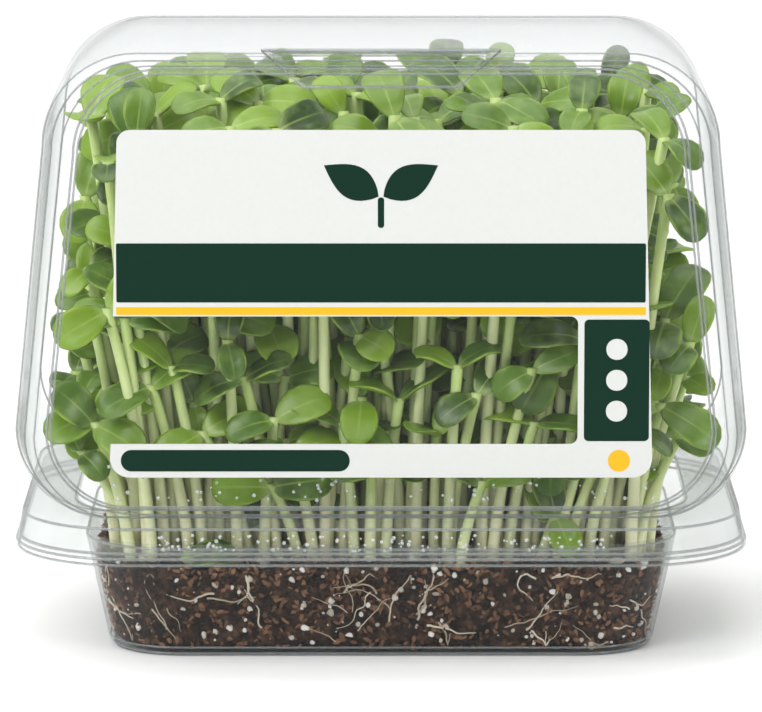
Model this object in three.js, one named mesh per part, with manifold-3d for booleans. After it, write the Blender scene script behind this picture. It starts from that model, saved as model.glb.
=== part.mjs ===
// Sunflower microgreens tray: seedlings in soil, in a clear tray under a clear lid.
// Millimetres, +Z up. The front faces -Y and the tray stands on z = 0.
import * as THREE from 'three';
import { mergeVertices } from 'three/addons/utils/BufferGeometryUtils.js';
import Module from 'manifold-3d';

const wasm = await Module();
wasm.setup();

// Gap between pieces that touch
const GAP = 0.3;
// Straight steps in a quarter of a rounded outline
const CORNER_STEPS = 3;

// Tray: a tapered cup with a wide rim turned down at its edge
const TRAY = {
  wall: 1,
  height: 31,
  footX: 71, footY: 45, footRadius: 19,
  mouthX: 77.5, mouthY: 51.5, mouthRadius: 24,
  heel: 2.5,
  rimX: 95, rimY: 68, rimRadius: 31,
  rimThick: 1.2, rimLip: 2.6,
};

// Soil fills the cup to this height
const SOIL_TOP = 24;

// Lid rim: a flat ring on a skirt that stands on the tray rim
const LID_RIM = { x: 94.3, y: 67.3, radius: 30.3, top: 38.2, thick: 1.1, draft: 1.2 };

// Lid body: a rounded box that narrows upwards, with a stepped frame round its front panel
const LID = {
  wall: 0.9,
  base: 37.8, top: 157.5,
  halfLow: 94.5, halfHigh: 87,
  radiusLow: 22, radiusHigh: 24,
  mouthX: 79.5, mouthY: 50.5, mouthRadius: 24,
};
// Outlines of the body from the back to the front: place along Y, then inset at side, top and base
const LID_STEPS = [
  { y: 56.5, side: 10, top: 9, base: 5 },
  { y: 55, side: 6.5, top: 5.6, base: 2 },
  { y: 51, side: 3, top: 2.6, base: 0.3 },
  { y: 46, side: 0.9, top: 0.8, base: 0 },
  { y: 40, side: 0, top: 0, base: 0 },
  { y: -42, side: 0, top: 0, base: 0 },
  { y: -47, side: 0.8, top: 0.3, base: 0 },
  { y: -50.5, side: 2.6, top: 0.9, base: 0 },
  { y: -52.5, side: 5, top: 1.6, base: 0.2 },
  { y: -54.2, side: 5.3, top: 1.8, base: 0.6 },
  { y: -54.9, side: 8.6, top: 2.6, base: 3 },
  { y: -56.9, side: 9, top: 2.9, base: 3.4 },
  { y: -57.5, side: 9.8, top: 3.6, base: 4.2 },
];
const PANEL_Y = -57.5;

// Tab on the top front edge: a sloping face, narrower below, with a raised oblong and a slot
const TAB = {
  halfLow: 19.5, halfHigh: 31,
  low: 149.6, high: 159.6,
  front: -60.6, crest: -51, back: -42,
  lip: 1.7,
  oblongHalf: 11, oblongRise: 0.7, oblongDepth: 9,
  slotHalf: 9, slotDepth: 3.4, slotSink: 0.5,
};

// Label: a printed sheet on the front panel, with a window open at its left side
const LABEL = {
  thick: 0.5,
  low: 50, high: 139.6,
  halfLow: 69.3, halfHigh: 67,
  radiusLow: 5, radiusHigh: 3.4,
  windowLow: 58.7, windowHigh: 91.8, windowRight: 50.2, windowRadius: 2,
};

// Seedlings: clumps in rows, each a root crown with stems, each stem with two seed leaves
const CLUMP = {
  columns: 9, pitchX: 15.5, shiftX: 4.4, shiftY: 11,
  crownRadius: 4.9, crownHeight: 3, crownSink: 0.8,
  holeRadius: 5.8, holeDepth: 4.4,
  stems: 4, ring: 3,
};
// Rows from the front to the back, with the heights of their leaf joints above the soil,
// along the row and at its two ends
const ROWS = [
  { y: -36, low: 26, high: 64, edgeLow: 14, edgeHigh: 96 },
  { y: -13, low: 50, high: 90, edgeLow: 24, edgeHigh: 110 },
  { y: 11, low: 78, high: 112, edgeLow: 60, edgeHigh: 114 },
  { y: 35, low: 92, high: 120, edgeLow: 76, edgeHigh: 118 },
];
const STEM = { footRadius: 1.75, topRadius: 1.35, sides: 4, steps: 3, lean: 1.6 };
// Height of the stems' feet, inside the crown
const STEM_FOOT = SOIL_TOP - CLUMP.crownSink - 2;
const LEAF = { thick: 1.7, sides: 4, steps: 4, swell: 0.2, cup: 1.1, start: 0.3, drop: 0.8 };
// How far the tips spread beyond the feet
const SPREAD = { x: 1.14, y: 1.08 };
// Room for leaves inside the tray and the lid
const ROOM = { top: 6, side: 6, y: 49, mouthZ: 46, mouthX: 72, mouthY: 46, far: 52 };
// Clearances that keep leaves and stems of different seedlings apart
const CLEAR = { leafToLeaf: 3.4, leafToStem: 3.7, stemToStem: 3.8, tries: 160 };
const SEED = 20817;
const UPWARDS = new THREE.Vector3(0, 0, 1);
const SIDEWAYS = new THREE.Vector3(1, 0, 0);

const clearPlastic = { color: 0xeef3f2, roughness: 0.08, metalness: 0, transparent: true, opacity: 0.3 };
const looks = {
  tray: clearPlastic,
  lid: clearPlastic,
  label: { color: 0xf3f4ef, roughness: 0.4, metalness: 0 },
  soil: { color: 0x33211a, roughness: 0.95, metalness: 0 },
  seedlings: { color: 0x5d9733, roughness: 0.5, metalness: 0 },
};

// A closed geometry as a solid that can be joined and cut
function solid(geometry) {
  const bare = geometry.clone();
  bare.deleteAttribute('normal');
  bare.deleteAttribute('uv');
  const merged = mergeVertices(bare, 1e-4);
  const mesh = new wasm.Mesh({
    numProp: 3,
    vertProperties: new Float32Array(merged.attributes.position.array),
    triVerts: new Uint32Array(merged.index.array),
  });
  return new wasm.Manifold(mesh);
}

// A solid as a named mesh with its own material
function piece(name, body, look) {
  const mesh = body.getMesh();
  const geometry = new THREE.BufferGeometry();
  geometry.setAttribute('position', new THREE.Float32BufferAttribute(mesh.vertProperties, 3));
  geometry.setIndex(Array.from(mesh.triVerts));
  geometry.computeVertexNormals();
  const material = new THREE.MeshStandardMaterial({ ...look, flatShading: true });
  const made = new THREE.Mesh(geometry, material);
  made.name = name;
  return made;
}

// A rounded outline that may be wider at its low side than at its high side
function roundedShape({ halfLow, halfHigh, low, high, radiusLow, radiusHigh }) {
  const shape = new THREE.Shape();
  const quarter = Math.PI / 2;
  shape.absarc(halfLow - radiusLow, low + radiusLow, radiusLow, -quarter, 0);
  shape.absarc(halfHigh - radiusHigh, high - radiusHigh, radiusHigh, 0, quarter);
  shape.absarc(radiusHigh - halfHigh, high - radiusHigh, radiusHigh, quarter, 2 * quarter);
  shape.absarc(radiusLow - halfLow, low + radiusLow, radiusLow, 2 * quarter, 3 * quarter);
  return shape;
}

function roundedOutline(size) {
  return roundedShape(size).getPoints(CORNER_STEPS);
}

// The same outline with equal corners about the centre, as seen from above
function planOutline(halfX, halfY, radius) {
  return roundedOutline({
    halfLow: halfX, halfHigh: halfX, low: -halfY, high: halfY, radiusLow: radius, radiusHigh: radius,
  });
}

// A skin over outlines with equal numbers of points, closed by a cap at each end
function loft(outlines, place) {
  const count = outlines[0].length;
  const positions = [];
  const indices = [];
  outlines.forEach((outline, level) => {
    for (const point of outline) {
      positions.push(...place(point, level).toArray());
    }
  });
  for (let level = 0; level + 1 < outlines.length; level += 1) {
    for (let i = 0; i < count; i += 1) {
      const a = level * count + i;
      const b = level * count + ((i + 1) % count);
      indices.push(a, b, b + count, a, b + count, a + count);
    }
  }
  const last = (outlines.length - 1) * count;
  for (const [a, b, c] of THREE.ShapeUtils.triangulateShape(outlines[0], [])) {
    indices.push(a, c, b);
  }
  for (const [a, b, c] of THREE.ShapeUtils.triangulateShape(outlines.at(-1), [])) {
    indices.push(last + a, last + b, last + c);
  }
  const geometry = new THREE.BufferGeometry();
  geometry.setAttribute('position', new THREE.Float32BufferAttribute(positions, 3));
  geometry.setIndex(indices);
  return solid(geometry);
}

// An upright skin over plan outlines, each given as height, half sizes and corner radius
function upright(levels) {
  const outlines = levels.map((level) => planOutline(level.x, level.y, level.radius));
  return loft(outlines, (point, index) => new THREE.Vector3(point.x, point.y, levels[index].z));
}

// The cup at height z, drawn in by an inset
function cupLevel(z, inset) {
  const share = z / TRAY.height;
  const grow = (from, to) => from + (to - from) * share;
  return {
    z,
    x: grow(TRAY.footX, TRAY.mouthX) - inset,
    y: grow(TRAY.footY, TRAY.mouthY) - inset,
    radius: grow(TRAY.footRadius, TRAY.mouthRadius) - inset,
  };
}

// The cup from its floor to a height, with a rounded heel
function cup(floor, top, inset) {
  const heel = TRAY.heel;
  return upright([
    cupLevel(floor, inset + heel * 0.75),
    cupLevel(floor + heel * 0.3, inset + heel * 0.2),
    cupLevel(floor + heel, inset),
    cupLevel(top, inset),
  ]);
}

function ringLevel(z, inset) {
  return { z, x: TRAY.rimX - inset, y: TRAY.rimY - inset, radius: TRAY.rimRadius - inset };
}

function makeTray() {
  const rimUnder = TRAY.height - TRAY.rimThick;
  const lipLow = TRAY.height - TRAY.rimLip;
  const lipInset = TRAY.wall + 0.3;
  const rim = upright([
    ringLevel(lipLow, 0.3),
    ringLevel(TRAY.height - 0.4, 0),
    ringLevel(TRAY.height, 0.4),
  ]);
  const underRim = upright([ringLevel(lipLow - 1, lipInset), ringLevel(rimUnder, lipInset)]);
  const shell = rim.subtract(underRim).add(cup(0, TRAY.height, 0));
  return shell.subtract(cup(TRAY.wall, TRAY.height + 1, TRAY.wall));
}

function makeSoil(holes) {
  let body = cup(TRAY.wall + GAP, SOIL_TOP, TRAY.wall + GAP);
  for (const hole of holes) {
    const bore = new THREE.CylinderGeometry(CLUMP.holeRadius, CLUMP.holeRadius, CLUMP.holeDepth + 1, 6);
    bore.rotateX(Math.PI / 2);
    bore.translate(hole.x, hole.y, SOIL_TOP - CLUMP.holeDepth / 2 + 0.5);
    body = body.subtract(solid(bore));
  }
  return body;
}

// The lid body as seen from the front at one step, drawn in by a wall thickness
function lidOutline(step, wall) {
  return roundedOutline({
    halfLow: LID.halfLow - step.side - wall,
    halfHigh: LID.halfHigh - step.side - wall,
    low: LID.base + step.base + wall,
    high: LID.top - step.top - wall,
    radiusLow: LID.radiusLow - step.side * 0.2 - wall,
    radiusHigh: LID.radiusHigh - step.side * 0.2 - wall,
  });
}

function lidBody(wall) {
  const outlines = LID_STEPS.map((step) => lidOutline(step, wall));
  return loft(outlines, (point, index) => {
    const y = LID_STEPS[index].y;
    return new THREE.Vector3(point.x, y - Math.sign(y) * wall, point.y);
  });
}

// A shape seen from the front, made into a block from frontY back by its depth
function frontBlock(shape, frontY, depth, shiftX = 0) {
  const geometry = new THREE.ExtrudeGeometry(shape, { depth, bevelEnabled: false, curveSegments: 3 });
  geometry.rotateX(Math.PI / 2);
  geometry.translate(shiftX, frontY + depth, 0);
  return solid(geometry);
}

// A shape seen from the side, made into a block across the middle
function sideBlock(shape, width) {
  const geometry = new THREE.ExtrudeGeometry(shape, { depth: width, bevelEnabled: false });
  geometry.rotateX(Math.PI / 2);
  geometry.rotateZ(Math.PI / 2);
  geometry.translate(-width / 2, 0, 0);
  return solid(geometry);
}

function shapeThrough(points) {
  return new THREE.Shape(points.map(([x, y]) => new THREE.Vector2(x, y)));
}

// The tab: a trapezoid seen from the front, cut to a sloping side view
function tabBody(wall) {
  const trapezoid = shapeThrough([
    [wall - TAB.halfLow, TAB.low + wall],
    [TAB.halfLow - wall, TAB.low + wall],
    [TAB.halfHigh - wall, TAB.high + 1],
    [wall - TAB.halfHigh, TAB.high + 1],
  ]);
  const slope = shapeThrough([
    [TAB.back, TAB.low - 1],
    [PANEL_Y + wall, TAB.low - 1],
    [PANEL_Y + wall, TAB.low + wall],
    [TAB.front + wall, TAB.low + 0.8 + wall],
    [TAB.front + wall, TAB.low + TAB.lip],
    [TAB.crest + wall * 0.5, TAB.high - wall],
    [TAB.back, LID.top - 0.5 - wall],
  ]);
  const block = frontBlock(trapezoid, TAB.front - 1, TAB.back - TAB.front + 1);
  return block.intersect(sideBlock(slope, 4 * TAB.halfHigh));
}

// A rounded bar on the tab's slope, standing up to a height from a depth below its face
function tabBar(half, depth, radius, below, above) {
  const run = TAB.crest - TAB.front;
  const rise = TAB.high - TAB.low - TAB.lip;
  const bar = roundedShape({
    halfLow: half, halfHigh: half, low: -depth / 2, high: depth / 2, radiusLow: radius, radiusHigh: radius,
  });
  const options = { depth: below + above, bevelEnabled: false, curveSegments: 4 };
  const geometry = new THREE.ExtrudeGeometry(bar, options);
  geometry.translate(0, 0, -below);
  geometry.rotateX(Math.atan2(rise, run));
  geometry.translate(0, TAB.front + run / 2, TAB.low + TAB.lip + rise / 2);
  return solid(geometry);
}

function lidRimLevel(z, inset) {
  return { z, x: LID_RIM.x - inset, y: LID_RIM.y - inset, radius: LID_RIM.radius - inset };
}

function makeLid() {
  const { top, thick, draft } = LID_RIM;
  const rimLow = TRAY.height + GAP;
  const rim = upright([
    lidRimLevel(rimLow, 0),
    lidRimLevel(top - 0.6, draft),
    lidRimLevel(top, draft + 0.6),
  ]);
  const underRim = upright([lidRimLevel(rimLow - 1, thick), lidRimLevel(top - thick, thick + draft)]);
  const mouth = upright([
    { z: rimLow, x: LID.mouthX, y: LID.mouthY, radius: LID.mouthRadius },
    { z: LID.base + 3, x: LID.mouthX, y: LID.mouthY, radius: LID.mouthRadius },
  ]);
  const outside = lidBody(0).add(tabBody(0)).add(rim.subtract(underRim));
  const inside = lidBody(LID.wall).add(tabBody(LID.wall));
  const oblong = tabBar(TAB.oblongHalf, TAB.oblongDepth, 2.4, LID.wall * 0.6, TAB.oblongRise);
  const slotFloor = TAB.slotSink - TAB.oblongRise;
  const slot = tabBar(TAB.slotHalf, TAB.slotDepth, TAB.slotDepth / 2 - 0.01, slotFloor, 3);
  return outside.subtract(inside).subtract(mouth).add(oblong).subtract(slot);
}

function makeLabel() {
  const frontY = PANEL_Y - GAP - LABEL.thick;
  const windowHalf = LABEL.windowRight + LABEL.halfLow;
  const window = roundedShape({
    halfLow: windowHalf, halfHigh: windowHalf,
    low: LABEL.windowLow, high: LABEL.windowHigh,
    radiusLow: LABEL.windowRadius, radiusHigh: LABEL.windowRadius,
  });
  const opening = frontBlock(window, frontY - 1, LABEL.thick + 2, LABEL.windowRight - windowHalf);
  return frontBlock(roundedShape(LABEL), frontY, LABEL.thick).subtract(opening);
}

// Repeatable random numbers from 0 to 1
function randomFrom(seed) {
  let state = seed;
  return () => {
    state = (state * 1664525 + 1013904223) % 4294967296;
    return state / 4294967296;
  };
}

// Centre of a stem at a share of its length, from its foot in the crown to its tip
function stemCentre(plant, share) {
  const bend = Math.pow(share, STEM.lean);
  const x = plant.footX + (plant.tipX - plant.footX) * bend;
  const y = plant.footY + (plant.tipY - plant.footY) * bend;
  return new THREE.Vector3(x, y, STEM_FOOT + (plant.tipZ - STEM_FOOT) * share);
}

// A point of a leaf: along it from 0 to 1, across it and through it from -1 to 1.
// The pair of leaves nods forwards by the plant's tilt, about the tip of its stem.
function leafPoint(plant, leaf, along, across, through) {
  const slope = leaf.pitch - leaf.curl * along;
  const out = (leaf.length * (Math.sin(leaf.pitch) - Math.sin(slope))) / leaf.curl;
  const up = (leaf.length * (Math.cos(slope) - Math.cos(leaf.pitch))) / leaf.curl;
  const swell = 1 + LEAF.swell * (2 * along - 1);
  const lift = (through * LEAF.thick) / 2 + LEAF.cup * across * across;
  const reach = LEAF.start + out - lift * Math.sin(slope);
  const side = (across * swell * leaf.width) / 2;
  const point = new THREE.Vector3(reach, side, up + lift * Math.cos(slope));
  point.applyAxisAngle(UPWARDS, leaf.azimuth);
  point.applyAxisAngle(SIDEWAYS, plant.tilt);
  return point.add(new THREE.Vector3(plant.tipX, plant.tipY, plant.tipZ - LEAF.drop));
}

// Points spread over a leaf, to measure clearances from
function leafProbes(plant, leaf) {
  const probes = [];
  for (const along of [0.12, 0.32, 0.52, 0.72, 0.92]) {
    const half = 2 * Math.sqrt(along * (1 - along));
    for (const across of [-0.62, 0, 0.62]) {
      probes.push(leafPoint(plant, leaf, along, across * half, 0));
    }
  }
  return probes;
}

// Whether a point of a leaf is over the soil and inside the tray and the lid
function hasRoom(point) {
  const x = Math.abs(point.x);
  const y = Math.abs(point.y);
  if (point.z < SOIL_TOP + 2 || point.z > LID.top - ROOM.top || y > ROOM.y) {
    return false;
  }
  if (point.z < ROOM.mouthZ) {
    return x < ROOM.mouthX && y < ROOM.mouthY;
  }
  const share = (point.z - LID.base) / (LID.top - LID.base);
  const half = LID.halfLow + (LID.halfHigh - LID.halfLow) * share;
  const cornerX = Math.max(0, x - (half - LID.radiusLow));
  const cornerLow = Math.max(0, LID.base + LID.radiusLow - point.z);
  const cornerHigh = Math.max(0, point.z - (LID.top - LID.radiusLow));
  return Math.hypot(cornerX, Math.max(cornerLow, cornerHigh)) < LID.radiusLow - ROOM.side;
}

// Whether a point keeps a distance from a stem, at its own height
function clearOfStem(point, plant, distance) {
  const share = (point.z - STEM_FOOT) / (plant.tipZ - STEM_FOOT);
  const centre = stemCentre(plant, Math.min(1, share));
  return point.distanceTo(centre) > distance;
}

function stemsClear(a, b) {
  const top = Math.min(a.tipZ, b.tipZ);
  for (let z = SOIL_TOP; z < top; z += 6) {
    const pointOfA = stemCentre(a, (z - STEM_FOOT) / (a.tipZ - STEM_FOOT));
    if (!clearOfStem(pointOfA, b, CLEAR.stemToStem)) {
      return false;
    }
  }
  return true;
}

// Whether a seedling keeps clear of one that is already placed
function plantsClear(a, b) {
  if (Math.hypot(a.tipX - b.tipX, a.tipY - b.tipY) > ROOM.far) {
    return true;
  }
  if (a.clump !== b.clump && !stemsClear(a, b)) {
    return false;
  }
  if (!a.probes.every((point) => clearOfStem(point, b, CLEAR.leafToStem))) {
    return false;
  }
  if (!b.probes.every((point) => clearOfStem(point, a, CLEAR.leafToStem))) {
    return false;
  }
  return a.probes.every((p) => b.probes.every((q) => p.distanceTo(q) > CLEAR.leafToLeaf));
}

// One try at a seedling of a clump: a stem that leans outwards and two leaves across its tip
function trySeedling(random, clump, index) {
  const between = (low, high) => low + (high - low) * random();
  const turn = clump.phase + (index * 2 * Math.PI) / CLUMP.stems;
  const heading = turn + between(-0.7, 0.7);
  const reach = between(2, 12);
  const rise = (index + between(-0.2, 1.2)) / CLUMP.stems;
  const plant = {
    clump,
    footX: clump.x + CLUMP.ring * Math.cos(turn),
    footY: clump.y + CLUMP.ring * Math.sin(turn),
    tipX: clump.x * SPREAD.x + reach * Math.cos(heading),
    tipY: clump.y * SPREAD.y + reach * Math.sin(heading),
    tipZ: SOIL_TOP + clump.low + (clump.high - clump.low) * rise,
    tilt: between(0.1, 1.05),
  };
  const azimuth = between(0, 2 * Math.PI);
  plant.leaves = [0, Math.PI].map((half) => {
    const length = between(12.5, 17.5);
    return {
      azimuth: azimuth + half + between(-0.25, 0.25),
      pitch: between(0.2, 0.9),
      curl: between(0.4, 1.2),
      length,
      width: length * between(0.6, 0.72),
    };
  });
  plant.probes = plant.leaves.flatMap((leaf) => leafProbes(plant, leaf));
  return plant;
}

// All seedlings, each placed by the first try that has room
function growSeedlings() {
  const random = randomFrom(SEED);
  const clumps = [];
  const placed = [];
  ROWS.forEach((row, rowIndex) => {
    const columns = CLUMP.columns - (rowIndex % 2);
    for (let column = 0; column < columns; column += 1) {
      const atEnd = column === 0 || column === columns - 1;
      const clump = {
        x: (column - (columns - 1) / 2) * CLUMP.pitchX + CLUMP.shiftX * (random() - 0.5),
        y: row.y + CLUMP.shiftY * (random() - 0.5),
        phase: 2 * Math.PI * random(),
        low: atEnd ? row.edgeLow : row.low,
        high: atEnd ? row.edgeHigh : row.high,
        plants: [],
      };
      clumps.push(clump);
      for (let index = 0; index < CLUMP.stems; index += 1) {
        for (let attempt = 0; attempt < CLEAR.tries; attempt += 1) {
          const plant = trySeedling(random, clump, index);
          if (plant.probes.every(hasRoom) && placed.every((other) => plantsClear(plant, other))) {
            placed.push(plant);
            clump.plants.push(plant);
            break;
          }
        }
      }
    }
  });
  return clumps;
}

// A geometry with every vertex moved to where a rule puts it
function moved(geometry, rule) {
  const position = geometry.attributes.position;
  const vertex = new THREE.Vector3();
  for (let i = 0; i < position.count; i += 1) {
    vertex.fromBufferAttribute(position, i);
    position.setXYZ(i, ...rule(vertex).toArray());
  }
  return geometry;
}

// A stem: an upright prism, bent along its centre line
function stemBody(plant) {
  const { footRadius, topRadius, sides, steps } = STEM;
  const prism = new THREE.CylinderGeometry(topRadius, footRadius, 1, sides, steps);
  return solid(moved(prism, (vertex) => {
    const centre = stemCentre(plant, vertex.y + 0.5);
    return new THREE.Vector3(centre.x + vertex.z, centre.y + vertex.x, centre.z);
  }));
}

// A leaf: a ball with few sides, pressed flat, with its poles at the foot and the tip
function leafBody(plant, leaf) {
  const ball = new THREE.SphereGeometry(1, LEAF.sides, LEAF.steps);
  return solid(moved(ball, (vertex) => {
    return leafPoint(plant, leaf, (1 - vertex.y) / 2, vertex.x, vertex.z);
  }));
}

function makeClump(clump) {
  const crown = new THREE.CylinderGeometry(CLUMP.crownRadius, CLUMP.crownRadius, CLUMP.crownHeight, 6);
  crown.rotateX(Math.PI / 2);
  crown.translate(clump.x, clump.y, SOIL_TOP - CLUMP.crownSink - CLUMP.crownHeight / 2);
  let body = solid(crown);
  for (const plant of clump.plants) {
    let seedling = stemBody(plant);
    for (const leaf of plant.leaves) {
      seedling = seedling.add(leafBody(plant, leaf));
    }
    body = body.add(seedling);
  }
  return body;
}

const clumps = growSeedlings();
const microgreens = new THREE.Group();
microgreens.add(piece('tray', makeTray(), looks.tray));
microgreens.add(piece('soil', makeSoil(clumps), looks.soil));
clumps.forEach((clump, index) => {
  const name = `seedlings_${String(index + 1).padStart(2, '0')}`;
  microgreens.add(piece(name, makeClump(clump), looks.seedlings));
});
microgreens.add(piece('lid', makeLid(), looks.lid));
microgreens.add(piece('label', makeLabel(), looks.label));

export default microgreens;
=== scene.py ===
# %% [markdown]
# # Sunflower microgreens tray
# A clear tray of soil with a dense stand of sunflower seedlings, under a tall clear lid with a label.
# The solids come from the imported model. This script gives each of them a finer skin in the same place,
# adds what is too small for the solids, such as roots, perlite and dew, and lights the whole like a studio photo.

import bpy
import numpy as np
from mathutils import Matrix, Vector
from mathutils.kdtree import KDTree


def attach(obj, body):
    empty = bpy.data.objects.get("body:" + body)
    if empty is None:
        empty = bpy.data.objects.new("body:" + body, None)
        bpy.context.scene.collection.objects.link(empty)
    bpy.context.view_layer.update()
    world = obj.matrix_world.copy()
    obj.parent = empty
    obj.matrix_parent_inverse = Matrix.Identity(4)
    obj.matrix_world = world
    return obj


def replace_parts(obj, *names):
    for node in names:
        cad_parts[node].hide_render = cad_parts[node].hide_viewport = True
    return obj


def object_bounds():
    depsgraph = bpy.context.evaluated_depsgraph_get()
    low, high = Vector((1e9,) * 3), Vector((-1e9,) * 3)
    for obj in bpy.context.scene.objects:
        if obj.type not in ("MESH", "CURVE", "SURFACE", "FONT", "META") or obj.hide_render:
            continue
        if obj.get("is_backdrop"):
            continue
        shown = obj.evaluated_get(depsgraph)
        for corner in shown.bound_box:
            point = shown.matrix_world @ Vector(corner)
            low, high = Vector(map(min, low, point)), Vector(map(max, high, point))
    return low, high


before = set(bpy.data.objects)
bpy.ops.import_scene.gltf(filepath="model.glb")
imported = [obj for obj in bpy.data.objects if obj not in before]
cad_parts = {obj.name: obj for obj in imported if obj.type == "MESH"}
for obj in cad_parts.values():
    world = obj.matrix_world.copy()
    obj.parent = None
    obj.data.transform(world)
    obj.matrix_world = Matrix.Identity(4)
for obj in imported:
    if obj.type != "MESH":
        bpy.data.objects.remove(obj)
cad_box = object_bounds()
print("nodes:", len(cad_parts))

# %% [markdown]
# ## Sizes
# All sizes are millimetres, as in the part's own source, and become metres when a mesh is made.

# %% Driving sizes
MM = 0.001
TRAY = dict(wall=1.0, height=31.0, foot=(71.0, 45.0, 19.0), mouth=(77.5, 51.5, 24.0), heel=2.5,
            rim=(95.0, 68.0, 31.0), rim_thick=1.2, rim_lip=2.6)
SOIL_TOP = 24.0
LID_RIM = dict(size=(94.3, 67.3, 30.3), top=38.2, thick=1.1, draft=1.2)
LID = dict(wall=0.9, base=37.8, top=157.5, half_low=94.5, half_high=87.0, radius_low=22.0, radius_high=24.0,
           mouth=(79.5, 50.5, 24.0))
# Outlines of the lid from the back to the front: place along Y, then inset at side, top and base
LID_STEPS = np.array([
    (56.5, 10.0, 9.0, 5.0), (55.0, 6.5, 5.6, 2.0), (51.0, 3.0, 2.6, 0.3), (46.0, 0.9, 0.8, 0.0),
    (40.0, 0.0, 0.0, 0.0), (-42.0, 0.0, 0.0, 0.0), (-47.0, 0.8, 0.3, 0.0), (-50.5, 2.6, 0.9, 0.0),
    (-52.5, 5.0, 1.6, 0.2), (-54.2, 5.3, 1.8, 0.6), (-54.9, 8.6, 2.6, 3.0), (-56.9, 9.0, 2.9, 3.4),
    (-57.5, 9.8, 3.6, 4.2),
])
PANEL_Y = -57.5
TAB = dict(half_low=19.5, half_high=31.0, low=149.6, high=159.6, front=-60.6, crest=-51.0, back=-42.0, lip=1.7)
LABEL = dict(thick=0.5, gap=0.3, low=50.0, high=139.6, half_low=69.3, half_high=67.0, radius_low=5.0,
             radius_high=3.4, window_low=58.7, window_high=91.8, window_right=50.2, window_radius=2.0)
GAP = 0.3
print("lid", LID["top"] - LID["base"], "mm tall over a tray", TRAY["height"], "mm tall")

# %% [markdown]
# ## Meshes from arrays
# A piece is made from one array of points and a few arrays of faces. Working on whole arrays is quick, and
# the formula for a surface can be read in one place.

# %% Mesh helpers
def make_piece(name, points, face_sets, materials=(), smooth=True):
    """A mesh object from points in millimetres and face arrays, each with the number of its material."""
    face_sets = [(np.asarray(faces, dtype=np.int32), slot) for faces, slot in face_sets]
    corners = np.concatenate([faces.ravel() for faces, slot in face_sets])
    counts = np.concatenate([np.full(len(faces), faces.shape[1]) for faces, slot in face_sets])
    slots = np.concatenate([np.full(len(faces), slot) for faces, slot in face_sets])
    starts = np.concatenate([[0], np.cumsum(counts)[:-1]])
    mesh = bpy.data.meshes.new(name)
    mesh.vertices.add(len(points))
    mesh.vertices.foreach_set("co", (np.asarray(points, dtype=np.float64) * MM).astype(np.float32).ravel())
    mesh.loops.add(len(corners))
    mesh.loops.foreach_set("vertex_index", corners.astype(np.int32))
    mesh.polygons.add(len(counts))
    mesh.polygons.foreach_set("loop_start", starts.astype(np.int32))
    mesh.polygons.foreach_set("material_index", slots.astype(np.int32))
    mesh.polygons.foreach_set("use_smooth", np.full(len(counts), smooth))
    mesh.update(calc_edges=True)
    mesh.validate()
    piece = bpy.data.objects.new(name, mesh)
    bpy.context.scene.collection.objects.link(piece)
    for material in materials:
        mesh.materials.append(material)
    return piece


def add_value(piece, name, values):
    """A number at each point of a piece, for its material to read."""
    layer = piece.data.attributes.new(name, "FLOAT", "POINT")
    layer.data.foreach_set("value", np.asarray(values, dtype=np.float32))


def ring_faces(rings, around):
    """Quads between rings of points that follow each other, each ring closed on itself."""
    level = np.arange(rings - 1)[:, None] * around
    step = np.arange(around)[None, :]
    after = (step + 1) % around
    quads = np.stack([level + step, level + after, level + around + after, level + around + step], -1)
    return quads.reshape(-1, 4)


def end_caps(rings, around):
    """One many-sided face over the first ring and one over the last."""
    ring = np.arange(around)
    return np.stack([ring[::-1], ring + (rings - 1) * around])


def rounded_outline(half_low, half_high, low, high, radius_low, radius_high, steps=14):
    """Points round an outline, anticlockwise: a quarter of a circle at each of its four corners."""
    turn = np.linspace(0, np.pi / 2, steps + 1)
    low_corner = (half_low - radius_low, low + radius_low, radius_low)
    high_corner = (half_high - radius_high, high - radius_high, radius_high)
    arcs = []
    for (x, y, radius), side, start in ((low_corner, 1, -0.5), (high_corner, 1, 0.0),
                                        (high_corner, -1, 0.5), (low_corner, -1, 1.0)):
        angle = start * np.pi + turn
        arcs.append(np.stack([side * x + radius * np.cos(angle), y + radius * np.sin(angle)], -1))
    return np.concatenate(arcs)


def plan_outline(size, inset=0.0, steps=14):
    """A rounded rectangle seen from above, from its half sizes and corner radius, drawn in by an inset."""
    x, y, radius = (value - inset for value in size)
    return rounded_outline(x, x, -y, y, radius, radius, steps)


def upright(levels, steps=14):
    """Rings of points for plan outlines (half sizes, corner radius), each at its height, with an inset."""
    rings = [np.column_stack([plan_outline(size, inset, steps), np.full(4 * (steps + 1), z)])
             for size, inset, z in levels]
    return np.concatenate(rings), len(rings), 4 * (steps + 1)


def skin(name, points, rings, around, materials, keep_sharp=35):
    """A closed piece over rings of points, smooth except at edges sharper than an angle in degrees."""
    piece = make_piece(name, points, [(ring_faces(rings, around), 0), (end_caps(rings, around), 0)], materials)
    piece.data.set_sharp_from_angle(angle=np.radians(keep_sharp))
    return piece


# %% [markdown]
# ## Materials
# Each material has its own short function. Effects that several materials share are helper functions, which add
# their nodes to the material and give out only a mask, a colour or a normal.

# %% Node helpers
def start_material(name, **values):
    """A new material with one Principled shader, whose constant values are set on its own sockets."""
    material = bpy.data.materials.new(name)
    material.use_nodes = True
    shader = material.node_tree.nodes["Principled BSDF"]
    for socket, value in values.items():
        shader.inputs[socket.replace("_", " ")].default_value = value
    return material, material.node_tree, shader


def node(tree, kind, inputs=None, **settings):
    """A node with its settings and its plain input values."""
    made = tree.nodes.new(kind)
    for key, value in settings.items():
        setattr(made, key, value)
    for key, value in (inputs or {}).items():
        made.inputs[key].default_value = value
    return made


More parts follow.
